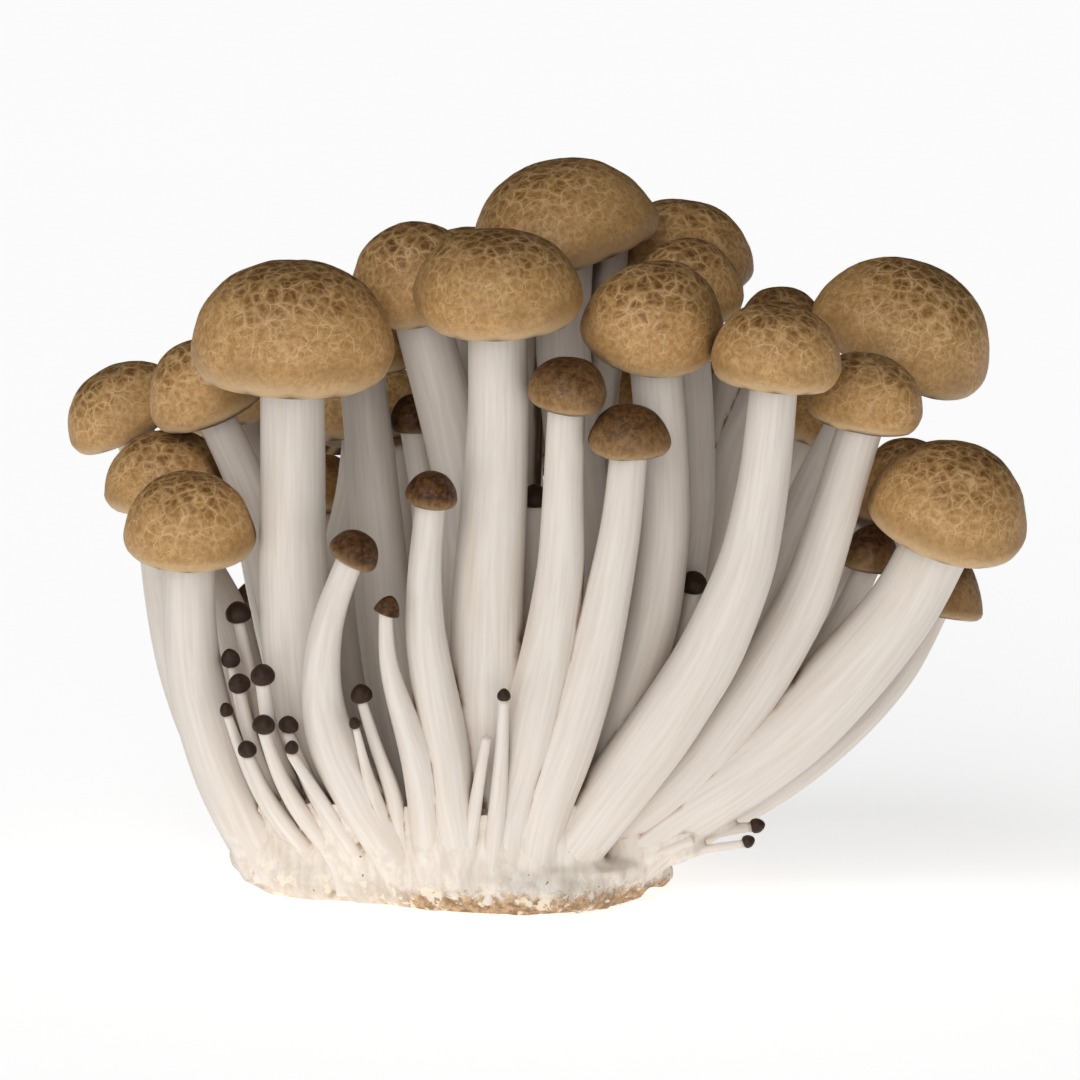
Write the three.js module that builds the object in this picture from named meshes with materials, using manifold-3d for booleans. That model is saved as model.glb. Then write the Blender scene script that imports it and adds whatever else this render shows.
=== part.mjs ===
// Beech mushroom cluster: many stems that grow from one cut base, each under a rounded cap with
// gills below. It stands upright on the cut face of the base.
// Millimetres. +X is to the right, +Y to the back, +Z up, and the cut face lies at z = 0.
import * as THREE from 'three';
import { mergeVertices } from 'three/addons/utils/BufferGeometryUtils.js';
import Module from 'manifold-3d';

// Heights in the tables below are rises: heights as seen from the front, looking down by 8 degrees.
// A point at depth y has its true height at rise - y * VIEW_DROP.
const VIEW_DROP = Math.tan(THREE.MathUtils.degToRad(8));

// Clearance between a stem's top and the cap that sits over it.
const CAP_GAP = 0.3;

// Base block: the outline of its waist seen from above, and its side as [share of that outline, z].
const BASE_OUTLINE = [
  [-29.5, 3], [-25, -6.5], [-13.5, -11], [-5, -17], [6, -21.5], [17, -20.5],
  [24.5, -13], [28, -1], [25, 12], [13, 20.5], [-3, 22.5], [-18, 18],
];
const BASE_SIDE = [[0.87, 0], [0.94, 1.4], [0.99, 3.4], [0.98, 5.6], [0.76, 7.8], [0.4, 9]];
const BASE_CROWN = 9.4;
const BASE_STEPS = 24;

// Height inside the base block at which the stems begin.
const FOOT_HEIGHT = 4;

// Share of a stem's length, from the foot, at which it is thickest.
const BELLY_AT = 0.35;

// Foot width as a share of the belly width.
const FOOT_SHARE = 0.9;

// Outer curve of a cap from the crown to the rim, as [share of radius, share of height].
const CUSHION = [[0.5, 0.93], [0.84, 0.7], [1, 0.34], [0.88, 0.02]];
const DOME = [[0.48, 0.91], [0.82, 0.65], [1, 0.27], [0.9, 0.01]];
const BELL = [[0.42, 0.86], [0.75, 0.55], [0.97, 0.12], [0.93, 0]];
const BUTTON = [[0.52, 0.88], [0.95, 0.55], [0.98, 0.22], [0.72, 0]];

// Underside of a cap: rings as [share of radius, height of a gill's edge, height between gills].
const GILL_RINGS = [[0.78, 0.06, 0.15], [0.42, 0.16, 0.23]];
const UNDERSIDE_CENTRE = 0.2;
const BUTTON_CENTRE = 0.12;

// Each row: name, habit, centre of the rim [x, y, rise], radius, height, lean [right, forward] in
// degrees, stem width at neck and belly, the stem's way down from the cap as [x, rise], foot [x, y].
const MUSHROOMS = [
  ['left_low', DOME, [-34.1, -20, 44], 8.5, 11.3, [0, 12], 7, 8.2,
    [[-34.2, 33], [-32.5, 23.5], [-29, 13]], [-24.5, -3.5]],
  ['left_middle', DOME, [-36.9, -3.6, 50.7], 8.2, 10, [-6, 6], 6, 7,
    [[-30.5, 39], [-28, 28], [-25.5, 16]], [-20, 0.5]],
  ['left_high', DOME, [-41.7, 9.4, 60.3], 8.6, 9.4, [-25, 3], 5.5, 7,
    [[-38.5, 46], [-36.5, 32], [-30.5, 16]], [-20, 5]],
  ['left_inner', DOME, [-30.9, -9, 62], 7.5, 10.8, [-20, 4], 5.2, 7,
    [[-26.5, 53], [-23.5, 42], [-19.5, 24]], [-13, -2]],
  ['left_broad', CUSHION, [-20.7, -24, 66.1], 12.7, 16.2, [-1, 7], 8.5, 9.7,
    [[-20.8, 50], [-20.6, 36], [-18.5, 20], [-13.5, 9]], [-10, -6]],
  ['left_shaded', DOME, [-12.2, 2, 68.6], 7.2, 9, [0, 5], 6.2, 8.4,
    [[-10.6, 55], [-9.4, 38], [-6.5, 20]], [-4, -4]],
  ['middle_left', DOME, [-4.5, -8.5, 75.5], 8.4, 12.4, [-6, 12], 7.6, 8,
    [[-2.2, 67], [0.2, 59], [1.6, 48], [1.5, 30], [1, 14]], [0, -5]],
  ['middle_broad', CUSHION, [5.5, -26, 73.6], 11.2, 12.6, [0, 7], 7.7, 10.4,
    [[5.9, 58], [4.5, 44], [4, 32], [4.2, 16]], [4, -13.5]],
  ['middle_back', DOME, [2, 16, 77], 8, 10.5, [-10, 0], 6, 7,
    [[7.4, 67], [4.5, 44]], [2, 4]],
  ['top', DOME, [15.1, 0, 82.2], 12.9, 13.9, [-17, 2], 7.2, 8.6,
    [[14, 72], [15.5, 58], [17, 44], [14, 24]], [7, -3]],
  ['right_high', DOME, [28.8, 17.5, 80.6], 9.9, 10.6, [9, 2], 6, 7,
    [[29, 66], [25.5, 48], [17, 26]], [10, 5]],
  ['right_round', DOME, [25.5, -20, 70.8], 9.2, 12, [3, 22], 7, 7.8,
    [[26.9, 58], [26.8, 44], [24, 30], [18.5, 17]], [12, -8]],
  ['right_shaded', DOME, [30, -3, 75.3], 7.6, 10.4, [-2, 10], 5.5, 7.2,
    [[31, 60], [30, 44], [24, 24]], [13, -3]],
  ['right_back', DOME, [42.2, 12.5, 69.5], 6.2, 10.2, [4, 2], 5.6, 7.6,
    [[37, 61.5], [33.2, 49], [27.5, 32], [20, 16]], [13, 2]],
  ['right_broad', CUSHION, [41, -28, 66.2], 8.7, 10.6, [5, 7], 6.3, 9.4,
    [[39.9, 54], [37.5, 42], [31.5, 28.5], [22.5, 16]], [12, -14]],
  ['right_leaning', DOME, [56.5, 2, 69], 12.3, 14.2, [23, 9], 6.2, 7.8,
    [[50.5, 60], [46, 52], [42, 40], [32, 23]], [17, -1]],
  ['right_middle', CUSHION, [52.4, -18, 60.9], 7.6, 9.5, [10, 7], 6.1, 8.4,
    [[49.4, 51], [46.5, 41], [41, 30.5], [32, 18.6], [22, 10]], [14, -9]],
  ['right_low', DOME, [62.9, -14, 46.3], 10.8, 13, [14, 14], 9.6, 11.4,
    [[55.5, 34.5], [50, 27.5], [41.5, 19.5], [29, 11]], [18, -7]],
  ['right_low_shaded', DOME, [57.8, 4.5, 47.6], 7.4, 12.2, [10, 0], 5, 6,
    [[52, 42], [46, 33], [36, 20]], [18, 2]],
  ['right_low_inner', BELL, [53.6, -5, 42.5], 4.1, 6, [10, 4], 3.4, 4.4,
    [[50, 35], [43, 26], [32, 15]], [18, -2]],
  ['right_outer', BELL, [62.6, 2, 36.8], 6, 8.5, [12, 3], 3.8, 4.6,
    [[57, 27], [47.5, 17.5], [34, 9]], [20, -1]],
  ['centre_small', CUSHION, [14.4, -29, 63.1], 5.3, 6.6, [5, 7], 5, 7.8,
    [[14, 52], [13.6, 40], [11, 26.5], [7.5, 14]], [7, -16]],
  ['centre_right_small', DOME, [22.4, -29, 57.3], 5.2, 6.5, [3, 8], 5, 7.6,
    [[21.5, 47.5], [19, 35.5], [16, 23], [12, 13]], [10, -16]],
  ['centre_left_small', DOME, [-3, -29, 50.7], 3.5, 4.4, [8, 8], 4, 6.8,
    [[-3.9, 42], [-3.7, 33], [-1.5, 22], [0.2, 11]], [1, -16.5]],
  ['centre_shaded', DOME, [-5.5, 5, 60.4], 3, 5, [0, 4], 3.4, 4.5,
    [[-4, 52], [-3.5, 40], [-1, 20]], [-1, 0]],
  ['front_left_small', DOME, [-13.4, -30, 43.3], 3.4, 4.3, [28, 6], 3.6, 7,
    [[-16, 37], [-17.3, 29], [-16.3, 20.5], [-11, 11]], [-6, -12]],
  ['front_left_slim', BELL, [-8.7, -29, 36.6], 1.7, 2.5, [18, 4], 1.8, 5,
    [[-9, 32], [-7.8, 27], [-5, 19.5], [-3.5, 9]], [-3, -15]],
  ['back_left_high', DOME, [-28, 22, 60], 8.5, 9.5, [-14, -16], 6.5, 7.5,
    [[-25, 44], [-20, 24]], [-13, 9]],
  ['back_left_broad', CUSHION, [-11.5, 27.2, 58.2], 9.6, 11.4, [-5, -14], 7, 8.6,
    [[-14.8, 45], [-12.5, 24]], [-7, 12]],
  ['back_middle', DOME, [8, 32.5, 55.6], 9, 11.4, [2, -18], 6.8, 8,
    [[9.6, 44], [7, 24]], [4, 15]],
  ['back_right_broad', CUSHION, [26.6, 29, 61], 9.4, 11, [8, -14], 7, 8.6,
    [[21.5, 44], [15, 24]], [10, 12]],
  ['back_right_high', DOME, [45, 23, 58], 8.2, 9.5, [18, -12], 6, 7.4,
    [[37, 42], [26, 22]], [16, 8]],
  ['back_left_low', DOME, [-17.8, 37, 48.4], 6.6, 9.4, [-6, -14], 5.4, 6.6,
    [[-15, 32], [-12.5, 16]], [-11, 13]],
  ['back_middle_low', DOME, [-4.3, 39, 49], 6.6, 9.4, [-2, -14], 5.6, 7,
    [[-4, 33], [-3.5, 16]], [-3, 17]],
  ['back_centre_low', BELL, [14, 40, 42], 6.6, 8.4, [5, -24], 5, 6.4,
    [[12, 28], [9.5, 15]], [8, 17]],
  ['back_right_low', DOME, [34, 31, 41], 7, 8.4, [14, -20], 5.4, 6.6,
    [[27, 27], [20, 14]], [15, 13]],
  ['back_left_young', BELL, [-25.6, 30, 34], 5, 7, [-14, -20], 3.8, 5,
    [[-20.5, 19]], [-13, 12]],
  ['back_middle_young', BELL, [4.5, 40, 22.5], 3.4, 5, [2, -28], 3, 4.2,
    [[4, 13]], [3, 18]],
  ['back_right_young', BELL, [24.5, 34, 22.5], 3.6, 5, [12, -24], 3, 4.2,
    [[20, 13]], [14, 16]],
  ['top_shaded', DOME, [19.6, 15.8, 70], 5.4, 9, [0, 0], 5, 6.4,
    [[17.5, 56], [12.5, 34]], [6, 5]],
];

// Young mushrooms that are still closed: name, centre of the head's foot [x, y, rise], radius, height,
// lean [right, forward], stem width at neck and belly, way down [x, rise], foot [x, y].
const BUTTONS = [
  ['front_left', [-11.8, -24.5, 25.2], 1.4, 2.4, [-8, 10], 1.5, 2.8, [[-10.4, 20], [-8, 14]], [-6, -13]],
  ['front_left_tiny', [-12.6, -26.5, 21.8], 0.8, 1.5, [-14, 10], 1, 2.4, [[-11.6, 17.5]], [-8, -12]],
  ['front_middle', [6.4, -27, 25.4], 0.9, 1.6, [2, 6], 1.5, 2.8, [[6, 16], [5, 6]], [4.5, -18]],
  ['gap_high', [-27.8, -15, 35.6], 1.7, 2.7, [-6, 10], 1.6, 2.8, [[-26.4, 29], [-24.5, 18]], [-17, -4]],
  ['gap_left', [-28.7, -17.4, 29.8], 1.2, 2.4, [-10, 14], 1.3, 2.6, [[-27.3, 22]], [-18, -4]],
  ['gap_middle', [-27.6, -19.5, 26.6], 1.4, 2.4, [-8, 20], 1.5, 2.8, [[-26, 19]], [-18, -5]],
  ['gap_right', [-24.6, -23.5, 27.6], 1.6, 2.6, [0, 14], 2, 3.1, [[-23.6, 20]], [-16, -5]],
  ['gap_low_left', [-29.2, -20.5, 23.4], 0.9, 1.8, [-14, 16], 1.3, 2.6, [[-26.2, 15]], [-19, -4]],
  ['gap_low_middle', [-24.4, -25.2, 21.4], 1.5, 2.3, [-4, 22], 1.8, 3, [[-22, 14]], [-14, -7]],
  ['gap_low_right', [-21.4, -22.5, 21.4], 1.3, 2.1, [6, 20], 1.7, 3, [[-18.5, 14]], [-12, -8]],
  ['low_left', [-26.6, -21, 18.2], 1.2, 2.1, [-6, 22], 1.7, 2.8, [[-24, 12]], [-17, -5]],
  ['low_middle', [-20.9, -24.8, 18.6], 0.9, 1.7, [2, 20], 1.4, 2.6, [[-17, 12]], [-11, -8]],
  ['right_edge', [38.4, -9, 8.6], 0.95, 1.9, [78, 6], 1.4, 3.2, [[33.5, 8.2], [28, 7]], [18, -7]],
  ['right_edge_low', [37.4, -11.5, 6.5], 0.85, 1.6, [66, 10], 1.2, 2.2, [[33, 6]], [20, -9]],
  ['between_right', [30.8, -8, 39.4], 1.9, 2.8, [4, 8], 2.2, 3, [[29, 30], [23, 18]], [14, -5]],
  ['between_middle', [10.4, -14, 50.6], 1.9, 2.9, [0, 6], 2.2, 3, [[10, 38], [8.5, 20]], [6, -8]],
];

// Headless sprouts: tip [x, y, rise], width at tip and belly, way down [x, rise], foot [x, y].
const SPROUTS = [
  [[4.2, -26, 20.5], 1.4, 2.2, [[2.6, 11]], [1.6, -17]],
  [[30.8, -14, 7], 1.4, 3, [[27, 5.8]], [18, -11]],
];

const SKIN = new THREE.MeshStandardMaterial({ name: 'cap_skin', color: 0xb18d60, roughness: 0.6 });
const YOUNG_SKIN = new THREE.MeshStandardMaterial({
  name: 'young_cap_skin', color: 0x5f4127, roughness: 0.6,
});
const FLESH = new THREE.MeshStandardMaterial({ name: 'stem_flesh', color: 0xe2dacf, roughness: 0.7 });

// A steady spread of numbers from 0 to 1 that gives each mushroom its own small unevenness.
function spread(index, salt) {
  const wave = Math.sin(index * 12.9898 + salt * 78.233) * 43758.5453;
  return wave - Math.floor(wave);
}

function placed(x, y, rise) {
  return new THREE.Vector3(x, y, rise - y * VIEW_DROP);
}

function axisOf(right, forward) {
  const x = Math.tan(THREE.MathUtils.degToRad(right));
  const y = -Math.tan(THREE.MathUtils.degToRad(forward));
  return new THREE.Vector3(x, y, 1).normalize();
}

// Welds a geometry and drops the triangles that have no area, so that it is one closed surface.
function welded(geometry) {
  geometry.deleteAttribute('normal');
  geometry.deleteAttribute('uv');
  const merged = mergeVertices(geometry, 1e-4);
  const index = merged.index.array;
  const kept = [];
  for (let i = 0; i < index.length; i += 3) {
    const [a, b, c] = [index[i], index[i + 1], index[i + 2]];
    if (a !== b && b !== c && c !== a) {
      kept.push(a, b, c);
    }
  }
  merged.setIndex(kept);
  return merged;
}

function sidesFor(radius) {
  if (radius > 7.8) {
    return 24;
  }
  return radius > 4.5 ? 16 : 12;
}

// A cap around the z axis with its rim near z = 0: a turned outline, made slightly uneven.
function capGeometry(habit, radius, height, index) {
  const closedHead = habit === BUTTON;
  const sides = closedHead ? 8 : sidesFor(radius);
  const rings = closedHead ? [] : GILL_RINGS;
  const centre = closedHead ? BUTTON_CENTRE : UNDERSIDE_CENTRE;
  const outline = [[0, centre]];
  for (const [share, edge] of [...rings].reverse()) {
    outline.push([share, edge]);
  }
  for (const point of [...habit].reverse()) {
    outline.push(point);
  }
  outline.push([0, 1]);
  const points = outline.map(([share, rise]) => new THREE.Vector2(share * radius, rise * height));
  const geometry = new THREE.LatheGeometry(points, sides);
  const position = geometry.attributes.position;
  const oval = 0.02 + 0.03 * spread(index, 1);
  const lobe = 0.01 + 0.02 * spread(index, 2);
  const droop = 0.015 + 0.025 * spread(index, 3);
  const turns = [4, 5, 6].map((salt) => spread(index, salt) * 2 * Math.PI);
  for (let side = 0; side <= sides; side += 1) {
    const angle = (side / sides) * 2 * Math.PI;
    const swell = 1 + oval * Math.cos(2 * angle + turns[0]) + lobe * Math.cos(3 * angle + turns[1]);
    for (let ring = 0; ring < outline.length; ring += 1) {
      const vertex = side * outline.length + ring;
      const share = outline[ring][0];
      let z = outline[ring][1];
      if (ring > 0 && ring <= rings.length && side % 2 === 1) {
        z = rings[rings.length - ring][2];
      }
      const sag = droop * radius * share * share * Math.cos(2 * angle + turns[2]);
      const flat = share * radius * swell;
      position.setXYZ(vertex, flat * Math.cos(angle), flat * Math.sin(angle), z * height + sag);
    }
  }
  return welded(geometry);
}

// Height above the rim at which a stem with this neck ends, just below the gills.
function stemTop(habit, radius, height, neck) {
  if (habit === BUTTON) {
    return -CAP_GAP;
  }
  const [outer, inner] = GILL_RINGS;
  const reach = (neck / 2 + 0.3) / radius;
  const share = Math.max(0, (reach - inner[0]) / (outer[0] - inner[0]));
  return height * (inner[1] + (outer[1] - inner[1]) * share) - CAP_GAP;
}

// Path of a stem from its foot to its tip. Its depth changes from the foot's to the cap's as it climbs.
function stemPath(foot, way, top) {
  const points = [new THREE.Vector3(foot[0], foot[1], FOOT_HEIGHT)];
  for (const [x, rise] of [...way].reverse()) {
    const climb = Math.min(1, rise / top.rise);
    const share = climb * (1.4 - 0.4 * climb);
    points.push(placed(x, foot[1] + (top.y - foot[1]) * share, rise));
  }
  points.push(...top.points);
  return new THREE.CatmullRomCurve3(points, false, 'centripetal');
}

function stemWidth(share, neck, belly) {
  const smooth = THREE.MathUtils.smoothstep;
  if (share < BELLY_AT) {
    return belly * (FOOT_SHARE + (1 - FOOT_SHARE) * smooth(share, 0, BELLY_AT));
  }
  return belly + (neck - belly) * smooth(share, BELLY_AT, 1);
}

// A cylinder laid along the stem's path, swollen to its width and slightly uneven.
function stemGeometry(path, neck, belly, axis, index) {
  const slim = belly < 3.2;
  const sides = slim ? 6 : 8;
  const steps = slim ? 4 : 6;
  const geometry = new THREE.CylinderGeometry(1, 1, 1, sides, steps);
  const position = geometry.attributes.position;
  const turn = spread(index, 7) * 2 * Math.PI;
  for (let vertex = 0; vertex < position.count; vertex += 1) {
    const share = position.getY(vertex) + 0.5;
    const point = path.getPointAt(share);
    const tangent = share > 0.999 ? axis.clone() : path.getTangentAt(share);
    const across = new THREE.Vector3(0, 1, 0).cross(tangent).normalize();
    const through = tangent.clone().cross(across);
    const angle = Math.atan2(position.getX(vertex), position.getZ(vertex));
    const uneven = 1 + 0.05 * Math.cos(2 * angle + turn + 4 * share);
    const half = (stemWidth(share, neck, belly) / 2) * (share > 0.9 ? 1 : uneven);
    point.addScaledVector(across, position.getX(vertex) * half);
    point.addScaledVector(through, -position.getZ(vertex) * half);
    position.setXYZ(vertex, point.x, point.y, point.z);
  }
  return welded(geometry);
}

// The block at the foot of the cluster: rings of its outline, lumpy above and flat below.
function baseGeometry() {
  const corners = BASE_OUTLINE.map(([x, y]) => new THREE.Vector3(x, y, 0));
  const outline = new THREE.CatmullRomCurve3(corners, true, 'centripetal');
  const rows = [[0, 0], ...BASE_SIDE, [0, BASE_CROWN]];
  const points = rows.map(([share, z]) => new THREE.Vector2(share, z));
  const geometry = new THREE.LatheGeometry(points, BASE_STEPS);
  const position = geometry.attributes.position;
  for (let step = 0; step <= BASE_STEPS; step += 1) {
    const angle = (step / BASE_STEPS) * 2 * Math.PI;
    const edge = outline.getPointAt((step / BASE_STEPS) % 1);
    for (let row = 0; row < rows.length; row += 1) {
      const [share, z] = rows[row];
      const lump = share > 0 && z > 0 ? 0.025 * Math.sin(5 * angle + 1.9 * row) : 0;
      const vertex = step * rows.length + row;
      position.setXYZ(vertex, edge.x * (share + lump), edge.y * (share + lump), z);
    }
  }
  return welded(geometry);
}

const wasm = await Module();
wasm.setup();

function toManifold(geometry) {
  const mesh = new wasm.Mesh({
    numProp: 3,
    vertProperties: new Float32Array(geometry.attributes.position.array),
    triVerts: new Uint32Array(geometry.index.array),
  });
  return new wasm.Manifold(mesh);
}

function fromManifold(manifold) {
  const { vertProperties, triVerts } = manifold.getMesh();
  const geometry = new THREE.BufferGeometry();
  geometry.setAttribute('position', new THREE.BufferAttribute(vertProperties, 3));
  geometry.setIndex(new THREE.BufferAttribute(triVerts, 1));
  return geometry;
}

const cluster = new THREE.Group();
cluster.name = 'beech_mushroom_cluster';

function addMesh(name, geometry, material) {
  const mesh = new THREE.Mesh(geometry, material);
  mesh.name = name;
  cluster.add(mesh);
}

let flesh = toManifold(baseGeometry());

// Puts one cap in place and joins its stem to the white body.
function addMushroom(name, material, habit, rim, radius, height, lean, neck, belly, way, foot, index) {
  const axis = axisOf(...lean);
  const centre = placed(...rim);
  const geometry = capGeometry(habit, radius, height, index);
  const upright = new THREE.Vector3(0, 0, 1);
  geometry.applyQuaternion(new THREE.Quaternion().setFromUnitVectors(upright, axis));
  geometry.translate(centre.x, centre.y, centre.z);
  addMesh(name, geometry, material);
  const tip = centre.clone().addScaledVector(axis, stemTop(habit, radius, height, neck));
  const below = centre.clone().addScaledVector(axis, -0.4 * radius);
  const top = { y: rim[1], rise: rim[2], points: [below, tip] };
  const path = stemPath(foot, way, top);
  flesh = flesh.add(toManifold(stemGeometry(path, neck, belly, axis, index)));
}

MUSHROOMS.forEach(([name, habit, ...rest], index) => {
  addMushroom(`cap_${name}`, SKIN, habit, ...rest, index);
});

BUTTONS.forEach(([name, ...rest], index) => {
  addMushroom(`button_${name}`, YOUNG_SKIN, BUTTON, ...rest, MUSHROOMS.length + index);
});

SPROUTS.forEach(([rim, neck, belly, way, foot], index) => {
  const tip = placed(...rim);
  const path = stemPath(foot, way, { y: rim[1], rise: rim[2], points: [tip] });
  const axis = path.getTangentAt(1);
  flesh = flesh.add(toManifold(stemGeometry(path, neck, belly, axis, 90 + index)));
});

addMesh('base_and_stems', fromManifold(flesh), FLESH);

export default cluster;
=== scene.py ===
"""Looks of the beech mushroom cluster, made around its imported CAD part.

Each CAD cap is read back as rings around its axis and rebuilt as a smooth cap with fine gills. Each
stem is traced through the CAD body from its tip to the base and rebuilt as a smooth, fibrous tube.
The block at the foot is remeshed together with the feet of the stems, so that they grow out of it.
"""

import math

import bmesh
import bpy
import numpy as np
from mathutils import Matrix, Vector
from mathutils.bvhtree import BVHTree
from mathutils.noise import noise

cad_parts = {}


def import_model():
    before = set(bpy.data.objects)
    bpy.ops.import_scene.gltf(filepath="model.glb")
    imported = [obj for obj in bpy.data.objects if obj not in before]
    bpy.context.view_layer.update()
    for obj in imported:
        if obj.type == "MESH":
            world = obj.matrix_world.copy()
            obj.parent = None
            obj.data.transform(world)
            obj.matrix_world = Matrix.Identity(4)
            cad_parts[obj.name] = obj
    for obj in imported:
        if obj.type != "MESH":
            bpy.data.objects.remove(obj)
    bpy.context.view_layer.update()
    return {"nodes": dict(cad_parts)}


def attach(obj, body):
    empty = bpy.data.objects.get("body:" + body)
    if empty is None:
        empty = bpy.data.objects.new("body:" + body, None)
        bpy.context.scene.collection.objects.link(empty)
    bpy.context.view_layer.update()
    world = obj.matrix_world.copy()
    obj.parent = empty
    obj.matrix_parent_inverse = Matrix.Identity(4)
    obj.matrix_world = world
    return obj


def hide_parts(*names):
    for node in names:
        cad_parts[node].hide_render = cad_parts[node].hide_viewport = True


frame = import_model()

MM = 0.001
BODY_NODE = "base_and_stems"

# Camera: the photograph shows 140.4 mm across its frame and looks down by 8 degrees.
FRAME_WIDTH = 140.4 * MM
AIM = Vector((11.05, 0, 46.2)) * MM
LOOK_DOWN = math.radians(8)
CAMERA_DISTANCE = 2.0
SENSOR = 36.0

# Strength of the surround's light: from above, from the front, and from every side alike.
WORLD_TOP = 0.6
WORLD_FRONT = 0.75
WORLD_EVEN = 0.1

# Studio lights: name, the way toward each, strength, and softness in degrees.
SUNS = (
    ("key", (-0.55, -1.0, 0.8), 1.05, 50),
    ("front", (-0.1, -1.0, 0.2), 0.62, 24),
)

# The floor: half its width, how far it lies under the base, and its own faint light.
FLOOR_HALF = 3.0
FLOOR_DROP = 0.0002
FLOOR_GLOW = 0.72


def srgb(red, green, blue):
    """A colour given as it looks on a screen, 0 to 255, turned into linear values."""
    values = np.array([red, green, blue]) / 255
    linear = np.where(values <= 0.04045, values / 12.92, ((values + 0.055) / 1.055) ** 2.4)
    return (*linear.tolist(), 1.0)


# Reading the CAD nodes

def welded(node):
    """Points and triangles of a CAD node, with the corners that share a place made one."""
    mesh = node.data
    mesh.calc_loop_triangles()
    raw = np.empty(len(mesh.vertices) * 3)
    mesh.vertices.foreach_get("co", raw)
    points, joined = np.unique(np.round(raw.reshape(-1, 3), 6), axis=0, return_inverse=True)
    corners = np.empty(len(mesh.loop_triangles) * 3, dtype=np.int32)
    mesh.loop_triangles.foreach_get("vertices", corners)
    triangles = joined.reshape(-1)[corners].reshape(-1, 3)
    a, b, c = triangles.T
    return points, triangles[(a != b) & (b != c) & (c != a)]


def neighbours_of(count, triangles):
    """For each point, the set of points that an edge joins it to."""
    found = [set() for _ in range(count)]
    for a, b, c in triangles.tolist():
        found[a].update((b, c))
        found[b].update((a, c))
        found[c].update((a, b))
    return found


def perpendicular(axis):
    """Two directions at right angles to an axis and to each other."""
    helper = np.array([0.0, 1.0, 0.0]) if abs(axis[1]) < 0.9 else np.array([1.0, 0.0, 0.0])
    across = np.cross(helper, axis)
    across /= np.linalg.norm(across)
    return across, np.cross(axis, across)


def smoothed(values, spread):
    """A row of values run through a bell-shaped average, with both ends held."""
    reach = min(int(math.ceil(3 * spread)), len(values) - 1)
    weights = np.exp(-0.5 * (np.arange(-reach, reach + 1) / spread) ** 2)
    weights /= weights.sum()
    first = 2 * values[:1] - values[reach:0:-1]
    last = 2 * values[-1:] - values[-2:-reach - 2:-1]
    padded = np.concatenate([first, values, last])
    columns = padded.reshape(len(padded), -1)
    kept = [np.convolve(column, weights, mode="valid") for column in columns.T]
    return np.stack(kept, axis=1).reshape(values.shape)


# A CAD cap's rings count from the crown: the rim is ring 3, and only an open cap has more than 5.
RIM_ROW = 3
CLOSED_HEAD_RINGS = 5
LOW_HARMONICS = 5


class Cap:
    """A CAD cap read back as rings: rows from the crown to the underside, columns around the axis."""

    def __init__(self, node):
        points, triangles = welded(node)
        joined = neighbours_of(len(points), triangles)
        by_valence = sorted(range(len(points)), key=lambda i: -len(joined[i]))[:2]
        middle = points.mean(axis=0)
        distance = [np.linalg.norm(points[i] - middle) for i in by_valence]
        crown, centre = by_valence if distance[0] > distance[1] else by_valence[::-1]
        levels = [[crown]]
        seen = {crown}
        while len(seen) < len(points):
            ring = sorted({j for i in levels[-1] for j in joined[i]} - seen)
            seen.update(ring)
            levels.append(ring)
        self.axis = points[crown] - points[centre]
        self.axis /= np.linalg.norm(self.axis)
        rings = levels[1:-1]
        self.sides = len(rings[0])
        self.origin = points[rings[RIM_ROW]].mean(axis=0)
        self.origin = points[crown] + self.axis * np.dot(self.origin - points[crown], self.axis)
        across = points[rings[0][0]] - points[crown]
        across -= self.axis * np.dot(across, self.axis)
        self.across = across / np.linalg.norm(across)
        self.through = np.cross(self.axis, self.across)
        self.height = np.dot(points[crown] - self.origin, self.axis)
        self.under = np.dot(points[centre] - self.origin, self.axis)
        self.radii = np.zeros((len(rings), self.sides))
        self.rises = np.zeros((len(rings), self.sides))
        for row, ring in enumerate(rings):
            local = points[ring] - self.origin
            x, y = local @ self.across, local @ self.through
            turn = np.arctan2(y, x) / (2 * math.pi) * self.sides
            column = np.round(turn).astype(int) % self.sides
            self.radii[row, column] = np.hypot(x, y)
            self.rises[row, column] = local @ self.axis
        self.radius = self.radii.mean(axis=1).max()
        self.closed_head = len(rings) <= CLOSED_HEAD_RINGS

    def around(self, values, count):
        """A ring's values at count even steps around the axis, by its low harmonics."""
        spectrum = np.fft.rfft(values)
        kept = np.zeros(count // 2 + 1, dtype=complex)
        low = min(LOW_HARMONICS, len(spectrum))
        kept[:low] = spectrum[:low] * count / len(values)
        return np.fft.irfft(kept, count)


# How enclosed a point of the surface is by the mushrooms around it, which the materials turn into
# painted shade

NEAR_REACH = 2.5 * MM
FAR_REACH = 16 * MM
RAY_LIFT = 0.08 * MM

# Rays from each point: their tilt from its normal in degrees, and how many.
RAY_TILTS = ((0, 1), (35, 5), (62, 6))


def enclosure(tree, points, normals):
    """Two shares for each point, later painted as shade: how much lies close to it, and how much lies
    around it at all.
    """
    helper = np.where(np.abs(normals[:, 2:]) < 0.9, [[0.0, 0.0, 1.0]], [[1.0, 0.0, 0.0]])
    across = np.cross(helper, normals)
    across /= np.linalg.norm(across, axis=1, keepdims=True)
    through = np.cross(normals, across)
    starts = [Vector(p) for p in points + normals * RAY_LIFT]
    near = np.zeros(len(points))
    far = np.zeros(len(points))
    total = 0.0
    for tilt, count in RAY_TILTS:
        weight = math.cos(math.radians(tilt))
        for n in range(count):
            turn = (n + 0.5) / count * 2 * math.pi
            flat = math.sin(math.radians(tilt))
            ways = (normals * weight + across * flat * math.cos(turn) + through * flat * math.sin(turn))
            hits = [tree.ray_cast(start, Vector(way), FAR_REACH)[3] for start, way in zip(starts, ways)]
            reach = np.array([FAR_REACH if hit is None else hit for hit in hits])
            near += weight * np.clip(1 - reach / NEAR_REACH, 0, 1)
            far += weight * (1 - reach / FAR_REACH)
            total += weight
    return near / total, far / total


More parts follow.
